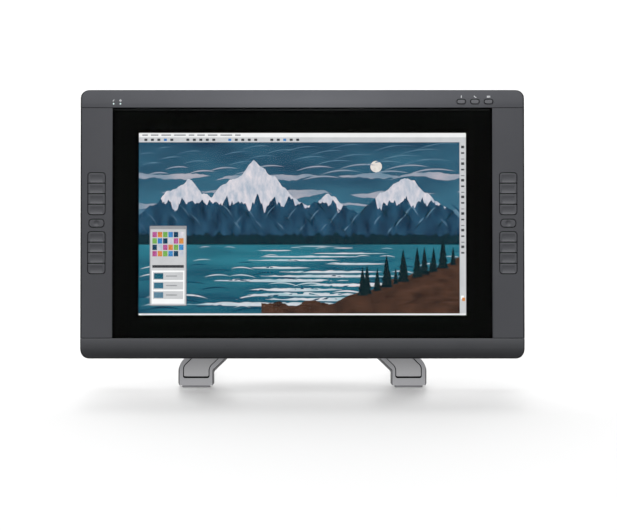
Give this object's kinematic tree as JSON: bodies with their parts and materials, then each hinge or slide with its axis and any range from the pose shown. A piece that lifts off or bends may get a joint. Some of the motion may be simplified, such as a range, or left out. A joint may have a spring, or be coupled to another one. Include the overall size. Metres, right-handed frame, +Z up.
{
  "type": "pen display graphics tablet",
  "caption": "Pen display with a wide glass screen, key columns beside it and buttons above, tilting on a doglegged two-sided desk stand with a release lever.",
  "frame": {"origin": "on the desk, under the middle of the object's box at its rest tilt", "axes": "+Z up, -Y towards the user, +X to the user's right as they face the screen"},
  "size_m": [0.65, 0.267, 0.4196],
  "materials": {
    "case": "fine satin texture",
    "bar": "fine satin texture",
    "key": "satin",
    "black_plastic": "satin",
    "white_plastic": "satin",
    "gloss_black": "gloss",
    "light_pipe": "clear gloss",
    "cover_glass": "fine etched gloss",
    "display": "satin",
    "board": "satin",
    "rubber": "matt",
    "leg": "fine satin paint",
    "leg_inlay": "fine satin paint",
    "cast_alloy": "satin",
    "sheet_alloy": "brushed",
    "steel": "brushed",
    "bronze": "satin"
  },
  "bodies": {
    "stand": {"pivot_tube": "steel", "tube_caps": "black_plastic", "left_front_leg": "leg", "right_front_leg": "leg", "left_rear_leg": "leg", "right_rear_leg": "leg", "left_leg_inlay": "leg_inlay", "right_leg_inlay": "leg_inlay", "rubber_feet": "rubber", "grub_screws": "steel"},
    "tablet": {"mount_bracket": "cast_alloy", "mount_screws": "steel", "friction_bushes": "bronze", "lever_pin": "steel", "rear_cover": "case", "case_screws": "steel", "chassis_plate": "sheet_alloy", "mid_frame": "black_plastic", "top_bar": "bar", "bottom_bar": "bar", "left_side_panel": "case", "right_side_panel": "case", "cover_glass": "cover_glass", "glass_gasket": "rubber", "lcd_panel": "display", "backlight_unit": "white_plastic", "sensor_board": "board", "shield_plate": "sheet_alloy", "main_board": "board", "power_board": "board", "key_boards": "board", "top_key_board": "board", "light_pipes": "light_pipe", "touch_strips": "gloss_black", "rear_connectors": "steel"},
    "release_lever": {"release_lever": "black_plastic", "lever_spring": "steel"},
    "left_menu_button": {"left_menu_button": "key"},
    "right_menu_button": {"right_menu_button": "key"},
    "top_button_1": {"top_button_1": "key"},
    "top_button_2": {"top_button_2": "key"},
    "top_button_3": {"top_button_3": "key"},
    "power_button": {"power_button": "black_plastic"},
    "left_key_1": {"left_key_1": "key"},
    "left_key_2": {"left_key_2": "key"},
    "left_key_3": {"left_key_3": "key"},
    "left_key_4": {"left_key_4": "key"},
    "left_key_5": {"left_key_5": "key"},
    "left_key_6": {"left_key_6": "key"},
    "left_key_7": {"left_key_7": "key"},
    "left_key_8": {"left_key_8": "key"},
    "right_key_1": {"right_key_1": "key"},
    "right_key_2": {"right_key_2": "key"},
    "right_key_3": {"right_key_3": "key"},
    "right_key_4": {"right_key_4": "key"},
    "right_key_5": {"right_key_5": "key"},
    "right_key_6": {"right_key_6": "key"},
    "right_key_7": {"right_key_7": "key"},
    "right_key_8": {"right_key_8": "key"}
  },
  "joints": [
    {"name": "screen_tilt", "type": "hinge", "parent": "stand", "child": "tablet", "pos_m": [0, -0.06545, 0.08338], "axis": [-1, 0, 0], "range_deg": [0, 60]},
    {"name": "lever_pull", "type": "hinge", "parent": "tablet", "child": "release_lever", "pos_m": [0, -0.04067, 0.11054], "axis": [1, 0, 0], "range_deg": [0, 8], "stiffness_Nm_per_rad": 3},
    {"name": "left_menu_button_press", "type": "slide", "parent": "tablet", "child": "left_menu_button", "axis": [0, 0.9397, -0.342], "range_m": [0, 0.0008], "stiffness_N_per_m": 800},
    {"name": "right_menu_button_press", "type": "slide", "parent": "tablet", "child": "right_menu_button", "axis": [0, 0.9397, -0.342], "range_m": [0, 0.0008], "stiffness_N_per_m": 800},
    {"name": "top_button_1_press", "type": "slide", "parent": "tablet", "child": "top_button_1", "axis": [0, 0.9397, -0.342], "range_m": [0, 0.0008], "stiffness_N_per_m": 800},
    {"name": "top_button_2_press", "type": "slide", "parent": "tablet", "child": "top_button_2", "axis": [0, 0.9397, -0.342], "range_m": [0, 0.0008], "stiffness_N_per_m": 800},
    {"name": "top_button_3_press", "type": "slide", "parent": "tablet", "child": "top_button_3", "axis": [0, 0.9397, -0.342], "range_m": [0, 0.0008], "stiffness_N_per_m": 800},
    {"name": "left_key_1_press", "type": "slide", "parent": "tablet", "child": "left_key_1", "axis": [0, 0.9397, -0.342], "range_m": [0, 0.0008], "stiffness_N_per_m": 800},
    {"name": "left_key_2_press", "type": "slide", "parent": "tablet", "child": "left_key_2", "axis": [0, 0.9397, -0.342], "range_m": [0, 0.0008], "stiffness_N_per_m": 800},
    {"name": "left_key_3_press", "type": "slide", "parent": "tablet", "child": "left_key_3", "axis": [0, 0.9397, -0.342], "range_m": [0, 0.0008], "stiffness_N_per_m": 800},
    {"name": "left_key_4_press", "type": "slide", "parent": "tablet", "child": "left_key_4", "axis": [0, 0.9397, -0.342], "range_m": [0, 0.0008], "stiffness_N_per_m": 800},
    {"name": "left_key_5_press", "type": "slide", "parent": "tablet", "child": "left_key_5", "axis": [0, 0.9397, -0.342], "range_m": [0, 0.0008], "stiffness_N_per_m": 800},
    {"name": "left_key_6_press", "type": "slide", "parent": "tablet", "child": "left_key_6", "axis": [0, 0.9397, -0.342], "range_m": [0, 0.0008], "stiffness_N_per_m": 800},
    {"name": "left_key_7_press", "type": "slide", "parent": "tablet", "child": "left_key_7", "axis": [0, 0.9397, -0.342], "range_m": [0, 0.0008], "stiffness_N_per_m": 800},
    {"name": "left_key_8_press", "type": "slide", "parent": "tablet", "child": "left_key_8", "axis": [0, 0.9397, -0.342], "range_m": [0, 0.0008], "stiffness_N_per_m": 800},
    {"name": "right_key_1_press", "type": "slide", "parent": "tablet", "child": "right_key_1", "axis": [0, 0.9397, -0.342], "range_m": [0, 0.0008], "stiffness_N_per_m": 800},
    {"name": "right_key_2_press", "type": "slide", "parent": "tablet", "child": "right_key_2", "axis": [0, 0.9397, -0.342], "range_m": [0, 0.0008], "stiffness_N_per_m": 800},
    {"name": "right_key_3_press", "type": "slide", "parent": "tablet", "child": "right_key_3", "axis": [0, 0.9397, -0.342], "range_m": [0, 0.0008], "stiffness_N_per_m": 800},
    {"name": "right_key_4_press", "type": "slide", "parent": "tablet", "child": "right_key_4", "axis": [0, 0.9397, -0.342], "range_m": [0, 0.0008], "stiffness_N_per_m": 800},
    {"name": "right_key_5_press", "type": "slide", "parent": "tablet", "child": "right_key_5", "axis": [0, 0.9397, -0.342], "range_m": [0, 0.0008], "stiffness_N_per_m": 800},
    {"name": "right_key_6_press", "type": "slide", "parent": "tablet", "child": "right_key_6", "axis": [0, 0.9397, -0.342], "range_m": [0, 0.0008], "stiffness_N_per_m": 800},
    {"name": "right_key_7_press", "type": "slide", "parent": "tablet", "child": "right_key_7", "axis": [0, 0.9397, -0.342], "range_m": [0, 0.0008], "stiffness_N_per_m": 800},
    {"name": "right_key_8_press", "type": "slide", "parent": "tablet", "child": "right_key_8", "axis": [0, 0.9397, -0.342], "range_m": [0, 0.0008], "stiffness_N_per_m": 800},
    {"name": "power_button_press", "type": "slide", "parent": "tablet", "child": "power_button", "axis": [0, -0.9397, 0.342], "range_m": [0, 0.0008], "stiffness_N_per_m": 800}
  ]
}
